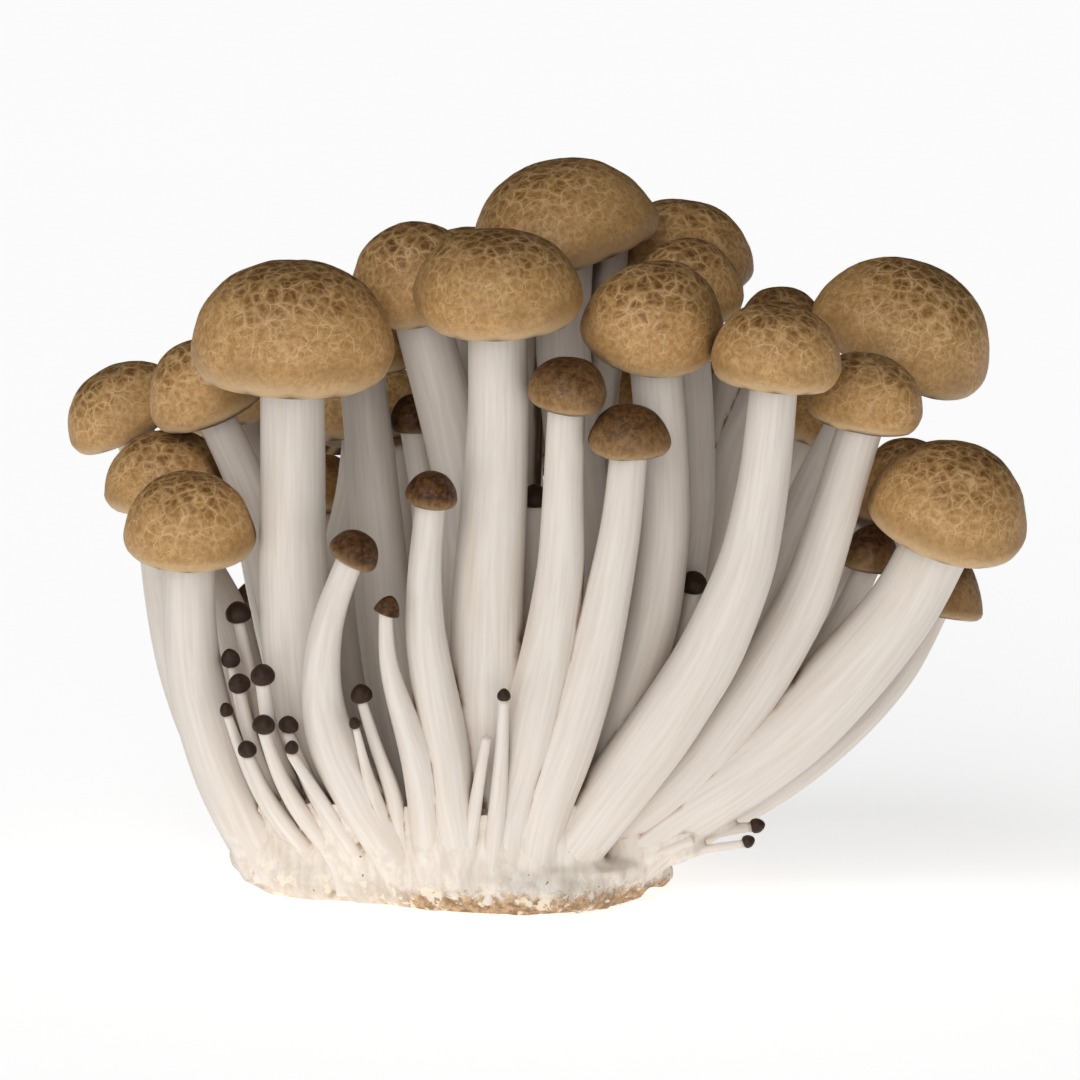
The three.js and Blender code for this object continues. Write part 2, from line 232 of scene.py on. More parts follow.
def surface(made):
    """Points and normals of a made object."""
    count = len(made.data.vertices)
    points, normals = np.empty(count * 3), np.empty(count * 3)
    made.data.vertices.foreach_get("co", points)
    made.data.vertices.foreach_get("normal", normals)
    return points.reshape(-1, 3), normals.reshape(-1, 3)


def between_rows(values, kept, count):
    """Rows of values known at the kept rows, filled in for every row up to the count."""
    filled = [np.interp(np.arange(count), kept, column) for column in values.reshape(len(kept), -1).T]
    return np.stack(filled, axis=1)


# Smooth caps

DOME_ROWS = 28
LIP_ROWS = 5
UNDER_ROWS = 9
EDGE_KNOT = 6

# Columns around a cap, by how large its radius is at least.
CAP_SIDES = ((7 * MM, 96), (3.5 * MM, 72), (0, 32))

# Under a cap the columns are finer by the first number, and a gill takes the second.
GILL_FINER = 3
GILL_COLUMNS = 4

# A cap has a share of 0 at its crown and 1 at its lip. The unevenness ends at the first of these, over
# the second. The caps' underside begins at the third.
EVEN_FROM = 1.12
EVEN_OVER = 0.2
UNDER_SHARE = 1.35


def through_points(knots, values, places):
    """A smooth curve through rows of values at the knots, read off at the given places."""
    result = np.empty((len(places),) + values.shape[1:])
    for n, place in enumerate(places):
        i = int(np.clip(np.searchsorted(knots, place, side="right") - 1, 1, len(knots) - 3))
        k0, k1, k2, k3 = knots[i - 1:i + 3]
        v0, v1, v2, v3 = values[i - 1:i + 3]
        t = (place - k1) / (k2 - k1)
        m1 = (v2 - v0) / (k2 - k0) * (k2 - k1)
        m2 = (v3 - v1) / (k3 - k1) * (k2 - k1)
        h = ((2 * t - 3) * t * t + 1, ((t - 2) * t + 1) * t, (3 - 2 * t) * t * t, (t - 1) * t * t)
        result[n] = h[0] * v1 + h[1] * m1 + h[2] * v2 + h[3] * m2
    return result


def make_mesh(name, points, faces):
    """A smooth-shaded object from points and faces."""
    mesh = bpy.data.meshes.new(name)
    mesh.from_pydata([tuple(p) for p in points], [], faces)
    mesh.polygons.foreach_set("use_smooth", [True] * len(mesh.polygons))
    mesh.update()
    made = bpy.data.objects.new(name, mesh)
    bpy.context.scene.collection.objects.link(made)
    return made


def set_numbers(made, name, values):
    """Stores a number at each point, for the materials to read."""
    attribute = made.data.attributes.new(name, "FLOAT", "POINT")
    attribute.data.foreach_set("value", np.asarray(values, dtype=np.float32))


def set_vectors(made, name, values):
    """Stores a vector at each point, for the materials to read."""
    attribute = made.data.attributes.new(name, "FLOAT_VECTOR", "POINT")
    attribute.data.foreach_set("vector", np.asarray(values, dtype=np.float32).reshape(-1))


def quads_between(first, second, count):
    """Faces between two rings of points that start at these indices."""
    step = np.arange(count)
    after = (step + 1) % count
    return np.stack([first + step, second + step, second + after, first + after], axis=1).tolist()


def cap_profile(cap, segments):
    """Radius and rise of the cap's skin, row by row, from just off the crown to inside the lip."""
    radii = np.stack([cap.around(cap.radii[row], segments) for row in range(RIM_ROW + 1)])
    rises = np.stack([cap.around(cap.rises[row], segments) for row in range(RIM_ROW + 1)])
    half = segments // 2
    crown = np.zeros((1, segments))
    before = -np.roll(radii[:1], half, axis=1)
    tuck = 0.5 * cap.under if cap.closed_head else 0.10 * cap.height
    rim = (radii[RIM_ROW:], rises[RIM_ROW:])
    lip = (0.76 * rim[0] + 0.02 * cap.radius, rim[1] + tuck)
    beyond = (0.6 * rim[0], rim[1] + 1.6 * tuck)
    above = [0.68 * edge + 0.32 * rows[RIM_ROW - 1:RIM_ROW] for edge, rows in zip(rim, (radii, rises))]
    below = [0.62 * edge + 0.38 * inner for edge, inner in zip(rim, lip)]
    over = np.roll(rises[:1], half, axis=1)
    radii = np.concatenate([before, crown, radii[:RIM_ROW], above[0], below[0], lip[0], beyond[0]])
    rises = np.concatenate([over, crown + cap.height, rises[:RIM_ROW], above[1], below[1], lip[1],
                            beyond[1]])
    reach = np.hypot(np.diff(radii.mean(axis=1)), np.diff(rises.mean(axis=1)))
    knots = np.concatenate([[0], np.cumsum(reach)]) - reach[0]
    edge, end = knots[EDGE_KNOT], knots[EDGE_KNOT + 1]
    dome = np.linspace(0, 1, DOME_ROWS + 1)[1:] * edge
    tucked = edge + np.linspace(0, 1, LIP_ROWS + 1)[1:] * (end - edge)
    places = np.concatenate([dome, tucked])
    return through_points(knots, radii, places), through_points(knots, rises, places), places / edge


def build_cap(node, index):
    """A smooth cap with gills, or a closed head, from the CAD node; its number varies its pattern."""
    cap = Cap(node)
    segments = next(sides for least, sides in CAP_SIDES if cap.radius > least)
    radii, rises, shares = cap_profile(cap, segments)
    turn = np.arange(segments) / segments * 2 * math.pi
    offset = Vector((index * 7.31, index * 3.17, index * 1.93))

    def world(radius, angle, rise):
        """A ring of points around the cap's axis."""
        return (cap.origin[:, None] + cap.across[:, None] * (radius * np.cos(angle))
                + cap.through[:, None] * (radius * np.sin(angle)) + cap.axis[:, None] * rise).T

    points = [cap.origin[None] + cap.axis[None] * cap.height]
    local = [np.array([[0, 0, cap.height]])]
    share = [np.zeros(1)]
    gill = [np.zeros(1)]
    for row in range(len(radii)):
        points.append(world(radii[row], turn, rises[row]))
        local.append(np.stack([radii[row] * np.cos(turn), radii[row] * np.sin(turn), rises[row]],
                              axis=1))
        share.append(np.full(segments, shares[row]))
        gill.append(np.zeros(segments))
    faces = [[0, 1 + i, 1 + (i + 1) % segments] for i in range(segments)]
    for row in range(len(radii) - 1):
        first = 1 + row * segments
        faces += quads_between(first, first + segments, segments)
    last = 1 + (len(radii) - 1) * segments
    top = last + segments
    if cap.closed_head:
        points.append(cap.origin[None] + cap.axis[None] * cap.under)
        local.append(np.array([[0, 0, cap.under]]))
        share.append(np.full(1, 1.3))
        gill.append(np.ones(1))
        faces += [[last + i, top, last + (i + 1) % segments] for i in range(segments)]
    else:
        fine = segments * GILL_FINER
        angle = np.arange(fine) / fine * 2 * math.pi
        gills = fine // GILL_COLUMNS
        comb = (0.5 - 0.5 * np.cos(angle * gills)) ** 0.7
        edge_radius = cap.around(radii[-1], fine)
        edge_rise = cap.around(rises[-1], fine)
        previous = None
        for row in range(UNDER_ROWS):
            t = (row + 0.6) / UNDER_ROWS
            radius = edge_radius * (1 - t)
            part = radius / cap.radius
            dip = np.interp(part, [0, 0.42, 0.78, 1], [0.2, 0.16, 0.07, 0.06]) * cap.height
            fade = min(1, 3.2 * (1 - t)) * min(1, 4 * t)
            deep = 0.075 * cap.height * fade
            rise = dip + np.maximum(edge_rise - 0.08 * cap.height, 0) * (1 - t) ** 4 + deep * comb
            points.append(world(radius, angle, rise))
            local.append(np.stack([radius * np.cos(angle), radius * np.sin(angle), rise], axis=1))
            share.append(np.full(fine, UNDER_SHARE + t))
            gill.append(0.5 + 0.5 * comb)
            first = top + row * fine
            if previous is None:
                for i in range(segments):
                    after = last + (i + 1) % segments
                    ring = [first + (GILL_FINER * i + k) % fine for k in range(GILL_FINER + 1)]
                    faces.append([last + i] + ring + [after])
            else:
                faces += quads_between(previous, first, fine)
            previous = first
        end = top + UNDER_ROWS * fine
        points.append(cap.origin[None] + cap.axis[None] * (0.22 * cap.height))
        local.append(np.array([[0, 0, 0.22 * cap.height]]))
        share.append(np.full(1, 2.4))
        gill.append(np.ones(1))
        faces += [[previous + i, end, previous + (i + 1) % fine] for i in range(fine)]
    points = np.concatenate(points)
    local = np.concatenate(local) / MM
    share = np.concatenate(share)
    outward = points - (cap.origin + cap.axis * 0.3 * cap.height)
    outward /= np.linalg.norm(outward, axis=1, keepdims=True) + 1e-9
    uneven = np.array([noise(Vector(p) * 0.28 + offset) * 0.16 + noise(Vector(p) * 0.9 + offset) * 0.05
                       for p in local])
    fade = np.clip((EVEN_FROM - share) / EVEN_OVER, 0, 1)
    amount = uneven * fade * min(1, cap.radius / (6 * MM)) * MM
    points = points + outward * amount[:, None]
    made = make_mesh(f"look_{node.name}", points, faces)
    set_vectors(made, "skin_place", local + np.array(offset) * 5)
    set_numbers(made, "skin_share", share)
    set_numbers(made, "skin_gill", np.concatenate(gill))
    set_numbers(made, "skin_tone", np.full(len(points), (index * 0.618) % 1))
    small = cap.radius / MM
    youth = np.clip((7.2 - small) / 2.2, 0, 1) + np.clip((4 - small) / 1.5, 0, 1)
    set_numbers(made, "skin_youth", np.full(len(points), youth))
    return made, cap, segments


def add_cap_enclosure(made, tree, segments):
    """Stores how enclosed a cap is, for its painted shade, found on every fourth column and third row
    of its skin.
    """
    points, normals = surface(made)
    rows = DOME_ROWS + LIP_ROWS
    kept = list(range(0, rows, 3))
    ring = np.arange(0, segments, 4)
    chosen = np.concatenate([1 + row * segments + ring for row in kept])
    found = enclosure(tree, points[chosen], normals[chosen])
    for name, values in zip(("near", "far"), found):
        values = values.reshape(len(kept), len(ring))
        spots = np.append(ring, segments)
        round_it = np.stack([np.interp(np.arange(segments), spots, np.append(row, row[0]))
                             for row in values])
        every = np.full(len(points), values.mean())
        every[0] = values[0].mean()
        every[1:1 + rows * segments] = between_rows(round_it, kept, rows).reshape(-1)
        set_numbers(made, name, every)


# Smooth stems

RAYS = 24
TRACE_STEP = (0.4 * MM, 1.0 * MM)
FOOT_LEVEL = 0.8 * MM
LONGEST_STEM = 130 * MM
BASE_TOP = 9 * MM

# A stem whose tip is this near a cap's underside goes on up into the cap, by the second length.
CAP_NEAR = 3.5 * MM
CAP_ENTRY = 0.9 * MM

# Sides of a stem's tube, for one thicker than this and for a thin one.
THICK_STEM = 1.4 * MM
THICK_SIDES = 28
THIN_SIDES = 14


def stem_tips(points, triangles):
    """Tips of the stems in the CAD body: points where a flat fan of triangles meets."""
    joined = neighbours_of(len(points), triangles)
    a, b, c = points[triangles[:, 0]], points[triangles[:, 1]], points[triangles[:, 2]]
    normals = np.cross(b - a, c - a)
    normals /= np.linalg.norm(normals, axis=1, keepdims=True) + 1e-15
    around = [[] for _ in points]
    for n, triangle in enumerate(triangles.tolist()):
        for corner in triangle:
            around[corner].append(n)
    tips = []
    for i, fan in enumerate(around):
        facing = normals[fan].mean(axis=0)
        if len(fan) < 6 or facing[2] < -0.5:
            continue
        if np.min(normals[fan] @ (facing / np.linalg.norm(facing))) < 0.9995:
            continue
        ring = sorted(joined[i])
        radius = np.mean([np.linalg.norm(points[j] - points[i]) for j in ring])
        tips.append((points[i], facing / np.linalg.norm(facing), radius, len(ring)))
    return tips


def trace_stem(tree, tip, facing, radius, corners):
    """Centres and radii down a stem, found by rays cast across it inside the CAD body."""
    rounding = 0.5 * (1 + math.cos(math.pi / corners))
    centres = [tip]
    radii = [radius * rounding]
    heading = -facing
    advance = min(max(0.55 * radius, TRACE_STEP[0]), TRACE_STEP[1])
    place = tip + heading * 0.5 * advance
    across, through = perpendicular(heading)
    while len(centres) * advance < LONGEST_STEM:
        level = np.hypot(heading[0], heading[1])
        if place[2] < FOOT_LEVEL + radii[-1] * (0.3 + 0.9 * level):
            break
        across = across - heading * np.dot(across, heading)
        across /= np.linalg.norm(across)
        through = np.cross(heading, across)
        rows, reaches = [], []
        for ray in range(RAYS):
            angle = ray / RAYS * 2 * math.pi
            way = across * math.cos(angle) + through * math.sin(angle)
            reach = tree.ray_cast(Vector(place), Vector(way), 1.2 * radii[-1] + 0.3 * MM)[3]
            if reach is not None and reach > 0.3 * radii[-1]:
                rows.append([1, math.cos(angle), math.sin(angle)])
                reaches.append(reach)
        if len(rows) < 0.3 * RAYS:
            heading = heading + np.array([0, 0, -0.07])
            heading /= np.linalg.norm(heading)
        held = 0.35 * RAYS
        system = np.diag([held * 0.6, held * 0.25, held * 0.25])
        target = np.array([held * 0.6 * radii[-1], 0, 0])
        if rows:
            rows = np.array(rows)
            system = system + rows.T @ rows
            target = target + rows.T @ np.array(reaches)
        radius_now, shift_a, shift_b = np.linalg.solve(system, target)
        if place[2] < BASE_TOP:
            radius_now = min(radius_now, radii[-1])
        centre = place + across * shift_a + through * shift_b
        step = centre - centres[-1]
        if len(centres) > 1:
            heading = 0.65 * heading + 0.35 * step / np.linalg.norm(step)
            heading /= np.linalg.norm(heading)
        centres.append(centre)
        radii.append(radius_now)
        place = centre + heading * advance
    return np.array(centres), np.array(radii)


def stem_rings(tree, tips, cap_centres):
    """For each stem, the centres and radii of its rings from above its tip down to its foot."""
    found = []
    for tip, facing, radius, corners in tips:
        centres, radii = trace_stem(tree, tip, facing, radius, corners)
        spread = 3.0 * TRACE_STEP[1] / np.linalg.norm(centres[-1] - centres[-2])
        centres = smoothed(centres, spread)
        radii = smoothed(radii, spread)
        if min(np.linalg.norm(cap_centres - tip, axis=1)) < CAP_NEAR:
            lead = np.array([tip + facing * CAP_ENTRY])
            flare = np.array([radii[0] * 1.04])
        else:
            lead = np.array([tip + facing * 0.35 * radii[0], tip + facing * 0.2 * radii[0]])
            flare = np.array([radii[0] * 0.35, radii[0] * 0.75])
        heading = centres[-1] - centres[-2]
        heading /= np.linalg.norm(heading)
        tail = np.array([centres[-1] + heading * radii[-1] * share for share in (0.25, 0.4)])
        found.append((np.concatenate([lead, centres, tail]),
                      np.concatenate([flare, radii, radii[-1] * np.array([0.85, 0.5])])))
    return found


# Made-up stems that close gaps of the crowded middle: top [x, y, rise], half width, foot [x, y], in
# millimetres. A rise is a height as the camera sees it. They get some painted shade besides, by the
# amount below. They aren't in the CAD and have no caps. The first two end bare, the third and fifth
# partly outside another mushroom's cap, and the other two inside one.
INNER_STEMS = (
    ((0.7, 12, 78.5), 2.4, (1, 6)),
    ((10.2, 6.5, 84), 2.2, (5, 2)),
    ((20.2, 8, 86.5), 2.5, (9, 3)),
    ((-7.4, 24, 61.5), 2.4, (-4, 10)),
    ((37, 13, 73), 2.3, (15, 3)),
    ((54.6, 5, 51.5), 2.2, (19, 1)),
)
# Painted shade added to the inner stems' enclosure, so they look shaded deep in the middle.
INNER_PAINTED_SHADE = 0.36


def inner_rings():
    """Centres and radii of the inner stems, from their tops down to the base."""
    found = []
    for (x, y, rise), half, foot in INNER_STEMS:
        top = np.array([x, y, rise - y * math.tan(LOOK_DOWN)])
        climb = np.linspace(1, 0.05, int(rise))
        share = climb * (1.4 - 0.4 * climb)
        flat = np.array(foot) + (top[:2] - foot) * share[:, None]
        centres = np.column_stack([flat, top[2] * climb]) * MM
        found.append((centres, half * MM * (1.25 - 0.25 * climb)))
    return found


def build_stems(rings):
    """All stems as smooth tubes, each with its own shallow ridges, and where each tube begins."""
    points, faces, places, layout, offset = [], [], [], [], 0
    for index, (centres, radii) in enumerate(rings):
        sides = THICK_SIDES if radii.mean() > THICK_STEM else THIN_SIDES
        length = np.concatenate([[0], np.cumsum(np.linalg.norm(np.diff(centres, axis=0), axis=1))])
        heading = np.gradient(centres, axis=0)
        heading /= np.linalg.norm(heading, axis=1, keepdims=True)
        across, _ = perpendicular(heading[0])
        turn = np.arange(sides) / sides * 2 * math.pi
        circle = np.stack([np.cos(turn), np.sin(turn)], axis=1)
        seed = index * 4.7
        for row in range(len(centres)):
            across = across - heading[row] * np.dot(across, heading[row])
            across /= np.linalg.norm(across)
            through = np.cross(heading[row], across)
            along = length[row] / MM
            low = along * MM / length[-1]
            ridge = [noise(Vector((x * 1.3 + seed, y * 1.3, along * 0.06))) * (0.03 + 0.05 * low)
                     + noise(Vector((x * 3.4 + seed, y * 3.4, along * 0.13))) * (0.004 + 0.012 * low)
                     for x, y in circle]
            size = radii[row] * (1 + np.array(ridge))
            points.append(centres[row] + np.outer(size * circle[:, 0], across)
                          + np.outer(size * circle[:, 1], through))
            girth = radii[row] / MM
            places.append(np.column_stack([circle[:, 0] * girth + seed * 3, circle[:, 1] * girth,
                                           np.full(sides, along)]))
            if row:
                last = offset + row * sides
                faces += quads_between(last, last - sides, sides)
        faces.append([offset + i for i in range(sides)][::-1])
        faces.append([last + i for i in range(sides)])
        layout.append((offset, len(centres), sides))
        offset += len(centres) * sides
    made = make_mesh("look_stems", np.concatenate(points), faces)
    set_vectors(made, "fibre_place", np.concatenate(places))
    return made, layout


def add_stem_enclosure(made, tree, layout):
    """Stores how enclosed the stems are, for their painted shade, found on every second ring; the inner
    ones count as more, so they get extra painted shade.
    """
    points, normals = surface(made)
    stored = {"near": np.zeros(len(points)), "far": np.zeros(len(points))}
    for index, (offset, rows, sides) in enumerate(layout):
        inner = index >= len(layout) - len(INNER_STEMS)
        kept = sorted({*range(0, rows, 2), rows - 1})
        chosen = np.concatenate([offset + row * sides + np.arange(sides) for row in kept])
        found = enclosure(tree, points[chosen], normals[chosen])
        for name, values in zip(("near", "far"), found):
            # The inner stems get extra painted shade.
            filled = between_rows(values, kept, rows) + (INNER_PAINTED_SHADE if inner else 0)
            stored[name][offset:offset + rows * sides] = filled.reshape(-1)
    for name, values in stored.items():
        set_numbers(made, name, values)


# Base block

BASE_VOXEL = 0.5 * MM
BASE_SMOOTHING = 7

# The CAD block is used up to the first height and the feet of the stems up to the second. Where the
# base lies this close under a stem's surface, it still counts as open.
BLOCK_TOP = 6.5 * MM
BLEND_TOP = 15 * MM
BASE_CLEAR = 0.4 * MM


def cut_below(mesh, height):
    """The part of a mesh below a height, with the cut closed."""
    shape = bmesh.new()
    shape.from_mesh(mesh)
    everything = shape.verts[:] + shape.edges[:] + shape.faces[:]
    bmesh.ops.bisect_plane(shape, geom=everything, plane_co=(0, 0, height), plane_no=(0, 0, 1),
                           clear_outer=True)
    bmesh.ops.holes_fill(shape, edges=[e for e in shape.edges if e.is_boundary], sides=0)
    return shape


def build_base(points, triangles, stems):
    """The block and the feet of the stems, grown together finely, with crumbs where it was cut."""
    mesh = bpy.data.meshes.new("look_base")
    mesh.from_pydata([tuple(p) for p in points], [], triangles.tolist())
    feet = cut_below(stems.data, BLEND_TOP)
    block = cut_below(mesh, BLOCK_TOP)
    feet.to_mesh(mesh)
    block.from_mesh(mesh)
    block.to_mesh(mesh)
    feet.free()
    block.free()
    made = bpy.data.objects.new("look_base", mesh)
    bpy.context.scene.collection.objects.link(made)
    remesh = made.modifiers.new("remesh", "REMESH")
    remesh.mode = "VOXEL"
    remesh.voxel_size = BASE_VOXEL
    smooth = made.modifiers.new("smooth", "SMOOTH")
    smooth.factor = 0.5
    smooth.iterations = BASE_SMOOTHING
    bpy.context.view_layer.update()
    shaped = made.evaluated_get(bpy.context.evaluated_depsgraph_get())
    final = bpy.data.meshes.new_from_object(shaped)
    made.modifiers.clear()
    made.data = final
    places, normals = surface(made)
    height = places[:, 2] / MM
    proud = np.interp(height, (0, 6, 9.5, 13.5), (0.25, 0.15, -0.05, -0.4))
    crumbly = np.interp(places[:, 0] / MM, (-10, -4), (0.35, 1))
    crumbly *= np.interp(height, (3, 7), (1, 0.15))
    lumps = np.array([noise(Vector(p) * 180) * 0.8 + noise(Vector(p) * 520 + Vector((9, 4, 2))) * 0.5
                      + noise(Vector(p) * 1300) * 0.22 for p in places]) * crumbly
    folds = np.array([noise(Vector((x * 300, y * 300, z * 70))) for x, y, z in places])
    lumps = lumps + folds * np.interp(height, (0, 2, 6, 10), (0.8, 1.0, 0.6, 0))
    lumps *= np.clip(height / 0.6, 0, 1)
    moved = places + normals * ((proud + lumps) * MM)[:, None]
    moved[:, 2] = np.maximum(moved[:, 2], np.minimum(places[:, 2], 0.05 * MM))
    final.vertices.foreach_set("co", moved.reshape(-1))
    final.polygons.foreach_set("use_smooth", [True] * len(final.polygons))
    final.update()
    return made


# Materials

class Nodes:
    """A small helper that adds shader nodes and links them."""

    def __init__(self, name):
        self.material = bpy.data.materials.new(name)
        self.material.use_nodes = True
        self.tree = self.material.node_tree
        self.shader = self.tree.nodes["Principled BSDF"]

    def add(self, kind, **settings):
        """A new shader node of a kind, with its settings."""
        node = self.tree.nodes.new(kind)
        for key, value in settings.items():
            setattr(node, key, value)
        return node

    def put(self, socket, value):
        """Links a socket to an input, or sets the input to a value."""
        if isinstance(value, bpy.types.NodeSocket):
            self.tree.links.new(value, socket)
        else:
            socket.default_value = value

    def attribute(self, name, output="Fac"):
        """What is stored at the points under a name."""
        return self.add("ShaderNodeAttribute", attribute_name=name).outputs[output]

    def math(self, operation, first, second, clamp=False):
        """The result of an operation on two numbers."""
        node = self.add("ShaderNodeMath", operation=operation, use_clamp=clamp)
        self.put(node.inputs[0], first)
        self.put(node.inputs[1], second)
        return node.outputs[0]

    def ramp(self, value, low, high, to_low=0.0, to_high=1.0):
        """A value that goes smoothly from to_low to to_high as the given one passes low to high."""
        node = self.add("ShaderNodeMapRange", interpolation_type="SMOOTHSTEP")
        for name, given in (("Value", value), ("From Min", low), ("From Max", high),
                            ("To Min", to_low), ("To Max", to_high)):
            self.put(node.inputs[name], given)
        return node.outputs[0]

    def mix(self, share, first, second):
        """A colour between two, by the share of the second."""
        node = self.add("ShaderNodeMix", data_type="RGBA")
        self.put(node.inputs[0], share)
        self.put(node.inputs[6], first)
        self.put(node.inputs[7], second)
        return node.outputs[2]

    def noise(self, place, scale, detail=3.0, roughness=0.55, output="Fac"):
        """A cloudy pattern, as a number or as a colour."""
        node = self.add("ShaderNodeTexNoise")
        for name, value in (("Vector", place), ("Scale", scale), ("Detail", detail),
                            ("Roughness", roughness)):
            self.put(node.inputs[name], value)
        return node.outputs[output]

    def scaled(self, vector, factors):
        """The vector stretched along each of its own axes."""
        node = self.add("ShaderNodeVectorMath", operation="MULTIPLY")
        self.put(node.inputs[0], vector)
        self.put(node.inputs[1], factors)
        return node.outputs[0]

    def moved(self, vector, offset, amount):
        """The vector pushed about by a noise colour, by up to the amount."""
        centred = self.add("ShaderNodeVectorMath", operation="SUBTRACT")
        self.put(centred.inputs[0], offset)
        self.put(centred.inputs[1], (0.5, 0.5, 0.5))
        scaled = self.add("ShaderNodeVectorMath", operation="SCALE")
        self.put(scaled.inputs[0], centred.outputs[0])
        self.put(scaled.inputs["Scale"], amount)
        total = self.add("ShaderNodeVectorMath", operation="ADD")
        self.put(total.inputs[0], vector)
        self.put(total.inputs[1], scaled.outputs[0])
        return total.outputs[0]

    def voronoi_edge(self, place, scale):
        """How far a place is from the lines between the cells of an irregular net."""
        node = self.add("ShaderNodeTexVoronoi", feature="DISTANCE_TO_EDGE")
        self.put(node.inputs["Vector"], place)
        self.put(node.inputs["Scale"], scale)
        return node.outputs["Distance"]

    def bump(self, height, strength, distance):
        """Fine relief from a height pattern."""
        node = self.add("ShaderNodeBump")
        self.put(node.inputs["Height"], height)
        self.put(node.inputs["Strength"], strength)
        self.put(node.inputs["Distance"], distance)
        self.tree.links.new(node.outputs[0], self.shader.inputs["Normal"])


def cap_material(name, young):
    """Tan skin with a net of pale lines, dark tiles at the crown, and gills below; or a young head.
    Painted shade darkens it where other mushrooms crowd round.
    """
    nodes = Nodes(name)
    place = nodes.attribute("skin_place", "Vector")
    share = nodes.attribute("skin_share")
    gill = nodes.attribute("skin_gill")
    tone = nodes.attribute("skin_tone")
    youth = nodes.attribute("skin_youth")
    drift = nodes.noise(place, 0.6, 1.5, output="Color")
    wide = nodes.voronoi_edge(nodes.moved(place, drift, 1.1), 0.5)
    fine = nodes.voronoi_edge(nodes.moved(place, drift, 1.0), 0.8)
    cloud = nodes.noise(place, 0.14, 3, 0.6)
    speckle = nodes.noise(place, 1.4, 4, 0.65)
    fleck = nodes.noise(place, 2.6, 3, 0.6)
    broken = nodes.ramp(nodes.noise(place, 0.55, 2), 0.36, 0.62, 0.15, 1.0)
    reach = nodes.math("ADD", share, nodes.math("MULTIPLY", nodes.math("SUBTRACT", cloud, 0.5), 0.45))
    near_crown = nodes.ramp(reach, 0.15, 0.78, 1.0, 0.0)
    tile_dark = nodes.mix(nodes.ramp(speckle, 0.35, 0.68), srgb(98, 63, 27), srgb(148, 105, 54))
    tan = nodes.mix(nodes.ramp(speckle, 0.35, 0.65), srgb(174, 130, 75), srgb(203, 161, 107))
    tan = nodes.mix(nodes.ramp(fleck, 0.55, 0.7, 0.0, 0.5), tan, srgb(216, 178, 128))
    tile_share = nodes.math("MULTIPLY", nodes.ramp(wide, 0.0, 0.26),
                            nodes.ramp(fine, 0.0, 0.2, 0.6, 1.0))
    skin = nodes.mix(nodes.math("MULTIPLY", tile_share, nodes.ramp(near_crown, 0, 1, 0.05, 0.97)),
                     tan, tile_dark)
    skin = nodes.mix(nodes.ramp(reach, 0.5, 0.0, 0.0, 0.4), skin, srgb(92, 62, 32))
    thin = nodes.math("MAXIMUM", nodes.ramp(wide, 0.01, 0.06, 1.0, 0.0),
                      nodes.math("MULTIPLY", nodes.ramp(fine, 0.01, 0.09, 1.0, 0.0), 0.5))
    thin = nodes.math("MULTIPLY", thin, broken)
    strength = nodes.ramp(reach, 0.6, 0.98, 0.75, 0.0)
    skin = nodes.mix(nodes.math("MULTIPLY", thin, strength), skin, srgb(224, 188, 140))
    # A patchy darker band above the margin: painted shade of the margin's inward curl, and also a
    # darker, watery zone of the skin.
    band = nodes.math("MULTIPLY", nodes.ramp(share, 0.62, 0.82),
                      nodes.ramp(share, 0.84, 0.96, 1.0, 0.0))
    skin = nodes.mix(nodes.math("MULTIPLY", band, nodes.ramp(cloud, 0.35, 0.65, 0.0, 0.55)),
                     skin, srgb(146, 112, 66))
    margin = nodes.ramp(nodes.math("ADD", share, nodes.math("MULTIPLY", cloud, 0.12)), 0.86, 1.06)
    skin = nodes.mix(margin, skin, srgb(208, 181, 143))
    skin = nodes.mix(nodes.math("MULTIPLY", tone, 0.12), skin, srgb(128, 92, 50))
    dark = nodes.mix(nodes.ramp(speckle, 0.35, 0.68), srgb(50, 29, 11), srgb(106, 69, 34))
    shade = nodes.math("MULTIPLY", youth, nodes.ramp(share, 0.4, 1.05, 1.0, 0.4), clamp=True)
    skin = nodes.mix(shade, skin, dark)
    if young:
        head = nodes.mix(speckle, srgb(22, 14, 10), srgb(66, 44, 30))
        skin = nodes.mix(nodes.ramp(share, 0.7, 1.1, 0.97, 0.7), skin, head)
    # Painted shade: dark brown where the cap is enclosed by other mushrooms, darkest close beside them.
    skin = nodes.mix(nodes.math("MULTIPLY", nodes.ramp(nodes.attribute("far"), 0.4, 0.85), 0.75),
                     skin, srgb(66, 43, 21))
    skin = nodes.mix(nodes.math("MULTIPLY", nodes.ramp(nodes.attribute("near"), 0.1, 0.7), 0.6),
                     skin, srgb(52, 34, 20))
    # Cream gills, with painted shade darkening the grooves between them.
    gill_colour = nodes.mix(gill, srgb(222, 206, 180), srgb(166, 144, 112))
    under = nodes.ramp(share, 1.15, 1.3)
    colour = nodes.mix(under, skin, gill_colour)
    nodes.put(nodes.shader.inputs["Base Color"], colour)
    nodes.shader.inputs["Roughness"].default_value = 0.55
    nodes.shader.inputs["Specular IOR Level"].default_value = 0.3
    relief = nodes.math("ADD", nodes.math("MULTIPLY", thin, 0.5), nodes.math("MULTIPLY", speckle, 0.5))
    nodes.bump(relief, 0.3, 0.0002)
    return nodes.material


